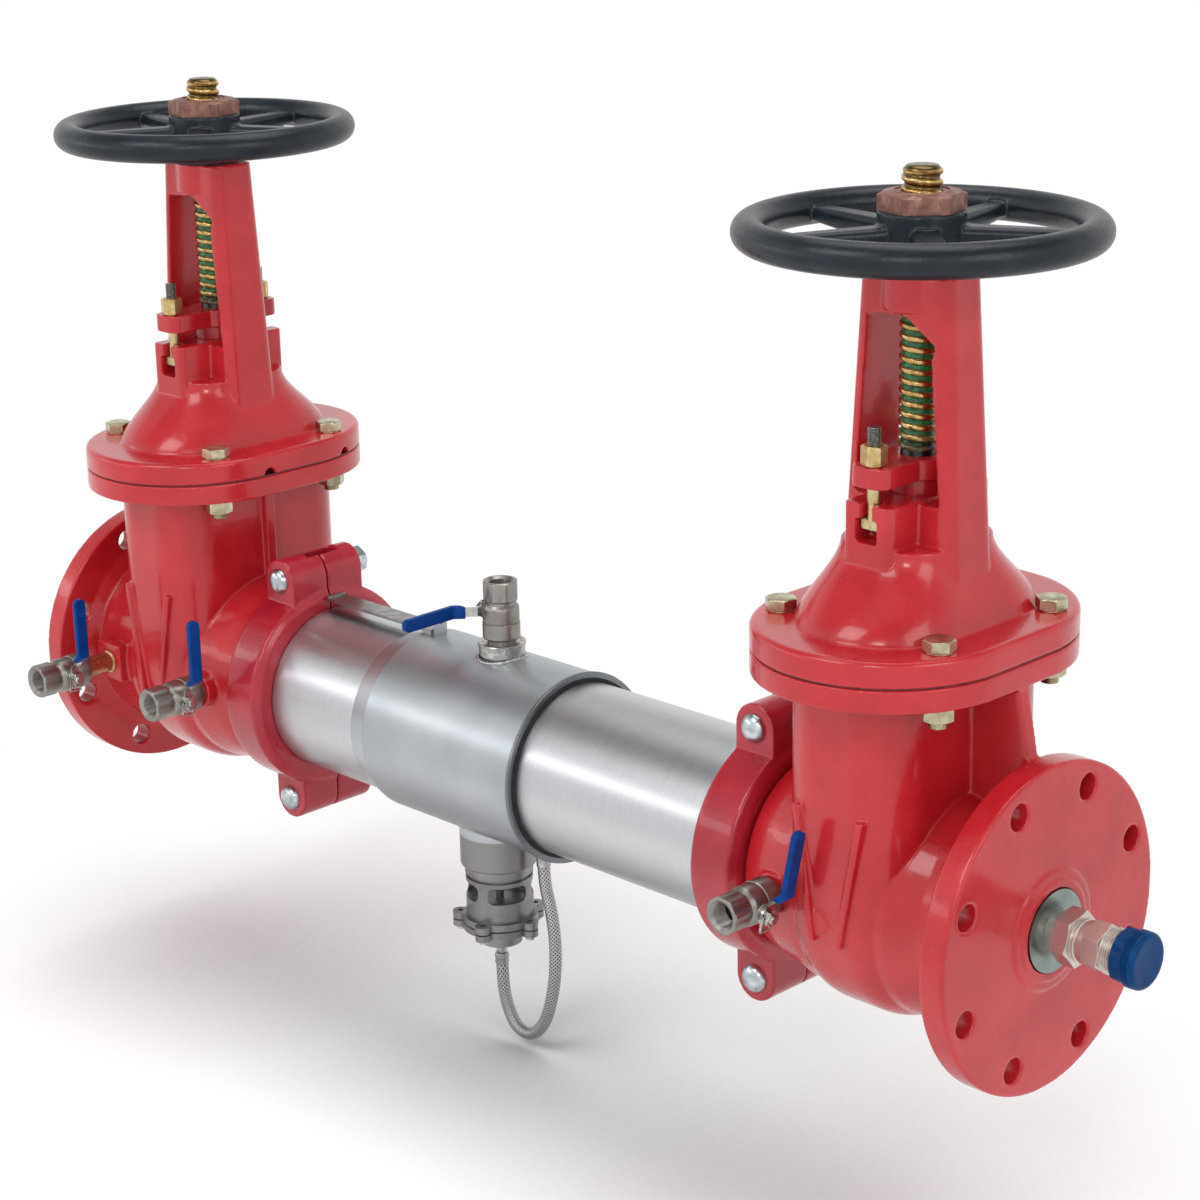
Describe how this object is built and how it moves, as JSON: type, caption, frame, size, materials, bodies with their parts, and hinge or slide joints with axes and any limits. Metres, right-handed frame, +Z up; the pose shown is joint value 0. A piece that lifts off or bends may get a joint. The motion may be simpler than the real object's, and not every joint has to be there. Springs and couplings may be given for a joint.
{
  "type": "reduced pressure backflow preventer",
  "caption": "Flanged reduced-pressure backflow preventer: a stainless check housing with relief valve and test cocks, between two rising-stem gate valves with handwheels.",
  "frame": {"origin": "centre of the inlet flange's face", "axes": "+X along the flow, +Z up, stems vertical"},
  "size_m": [1.3195, 0.356, 0.9249],
  "materials": {
    "red_epoxy": "gloss",
    "crimson_epoxy": "gloss",
    "wheel_enamel": "satin",
    "stem_bronze": "machined",
    "nut_bronze": "as cast",
    "gland_brass": "satin",
    "yellow_zinc": "zinc plated",
    "bright_zinc": "zinc plated",
    "stainless_tube": "brushed",
    "cast_stainless": "as cast",
    "cock_stainless": "satin",
    "spring_steel": "satin",
    "hose_braid": "woven",
    "grip_blue": "matte",
    "cap_blue": "matte",
    "disc_zinc": "turned",
    "fitting_brass": "machined",
    "wedge_rubber": "matte",
    "black_rubber": "matte"
  },
  "bodies": {
    "pipeline": {"inlet_valve_body": "red_epoxy", "inlet_bonnet": "red_epoxy", "outlet_valve_body": "red_epoxy", "outlet_bonnet": "red_epoxy", "bonnet_gaskets": "black_rubber", "bonnet_bolts": "yellow_zinc", "bonnet_nuts": "yellow_zinc", "gland_followers": "red_epoxy", "gland_bolts": "yellow_zinc", "gland_nuts": "gland_brass", "stem_packings": "black_rubber", "yoke_caps": "wheel_enamel", "coupling_front_halves": "crimson_epoxy", "coupling_back_halves": "crimson_epoxy", "coupling_gaskets": "black_rubber", "coupling_bolts": "bright_zinc", "coupling_nuts": "bright_zinc", "check_housing": "stainless_tube", "outlet_tube": "stainless_tube", "housing_seal": "black_rubber", "retainer_strap": "stainless_tube", "check_1_cage": "cast_stainless", "check_1_spring": "spring_steel", "check_2_cage": "cast_stainless", "check_2_spring": "spring_steel", "relief_body": "cast_stainless", "relief_cover": "cast_stainless", "relief_screws": "bright_zinc", "relief_diaphragm": "black_rubber", "relief_spring": "spring_steel", "sensing_hose": "hose_braid", "hose_fittings": "cock_stainless", "test_cock_bodies": "cock_stainless", "test_cock_nipple": "fitting_brass", "plug_disc": "disc_zinc", "hex_bushing": "fitting_brass", "reducing_nipple": "fitting_brass"},
    "inlet_wheel": {"inlet_handwheel": "wheel_enamel", "inlet_wheel_nut": "nut_bronze", "inlet_yoke_nut": "nut_bronze"},
    "inlet_gate": {"inlet_stem": "stem_bronze", "inlet_wedge": "wedge_rubber"},
    "outlet_wheel": {"outlet_handwheel": "wheel_enamel", "outlet_wheel_nut": "nut_bronze", "outlet_yoke_nut": "nut_bronze"},
    "outlet_gate": {"outlet_stem": "stem_bronze", "outlet_wedge": "wedge_rubber"},
    "test_cock_1_handle": {"test_cock_1_lever": "cock_stainless", "test_cock_1_grip": "grip_blue"},
    "test_cock_2_handle": {"test_cock_2_lever": "cock_stainless", "test_cock_2_grip": "grip_blue"},
    "test_cock_3_handle": {"test_cock_3_lever": "cock_stainless", "test_cock_3_grip": "grip_blue"},
    "test_cock_4_handle": {"test_cock_4_lever": "cock_stainless", "test_cock_4_grip": "grip_blue"},
    "check_1": {"check_1_disc": "cast_stainless"},
    "check_2": {"check_2_disc": "cast_stainless"},
    "relief_plug": {"relief_stem": "cast_stainless"},
    "cap": {"test_cap": "cap_blue"}
  },
  "joints": [
    {"name": "inlet_handwheel_turn", "type": "hinge", "parent": "pipeline", "child": "inlet_wheel", "pos_m": [0.1455, 0, 0.56], "axis": [0, 0, 1], "range_deg": [0, 6240]},
    {"name": "inlet_gate_lift", "type": "slide", "parent": "pipeline", "child": "inlet_gate", "axis": [0, 0, 1], "range_m": [0, 0.156]},
    {"name": "outlet_handwheel_turn", "type": "hinge", "parent": "pipeline", "child": "outlet_wheel", "pos_m": [1.0725, 0, 0.56], "axis": [0, 0, 1], "range_deg": [0, 6240]},
    {"name": "outlet_gate_lift", "type": "slide", "parent": "pipeline", "child": "outlet_gate", "axis": [0, 0, 1], "range_m": [0, 0.156]},
    {"name": "test_cock_1_turn", "type": "hinge", "parent": "pipeline", "child": "test_cock_1_handle", "pos_m": [0.0675, -0.17, 0], "axis": [1, 0, 0], "range_deg": [0, 90]},
    {"name": "test_cock_2_turn", "type": "hinge", "parent": "pipeline", "child": "test_cock_2_handle", "pos_m": [0.2165, -0.136, 0], "axis": [1, 0, 0], "range_deg": [0, 90]},
    {"name": "test_cock_3_turn", "type": "hinge", "parent": "pipeline", "child": "test_cock_3_handle", "pos_m": [0.5665, 0, 0.1325], "axis": [-1, 0, 0], "range_deg": [0, 90]},
    {"name": "test_cock_4_turn", "type": "hinge", "parent": "pipeline", "child": "test_cock_4_handle", "pos_m": [1.0015, -0.129, 0], "axis": [0.9781, 0, -0.2079], "range_deg": [0, 90]},
    {"name": "check_1_open", "type": "slide", "parent": "pipeline", "child": "check_1", "axis": [1, 0, 0], "range_m": [0, 0.03], "stiffness_N_per_m": 2000, "springref_m": -0.05, "deforming": ["check_1_spring"]},
    {"name": "check_2_open", "type": "slide", "parent": "pipeline", "child": "check_2", "axis": [1, 0, 0], "range_m": [0, 0.03], "stiffness_N_per_m": 2000, "springref_m": -0.05, "deforming": ["check_2_spring"]},
    {"name": "relief_open", "type": "slide", "parent": "pipeline", "child": "relief_plug", "axis": [0, 0, -1], "range_m": [0, 0.007], "stiffness_N_per_m": 600, "springref_m": -0.01, "deforming": ["relief_spring"]},
    {"name": "cap_off", "type": "slide", "parent": "pipeline", "child": "cap", "axis": [1, 0, 0], "range_m": [0, 0.03]}
  ],
  "couplings": [
    {"joint": "inlet_gate_lift", "follows": "inlet_handwheel_turn", "m_per_rad": 0.0014324},
    {"joint": "outlet_gate_lift", "follows": "outlet_handwheel_turn", "m_per_rad": 0.0014324}
  ]
}
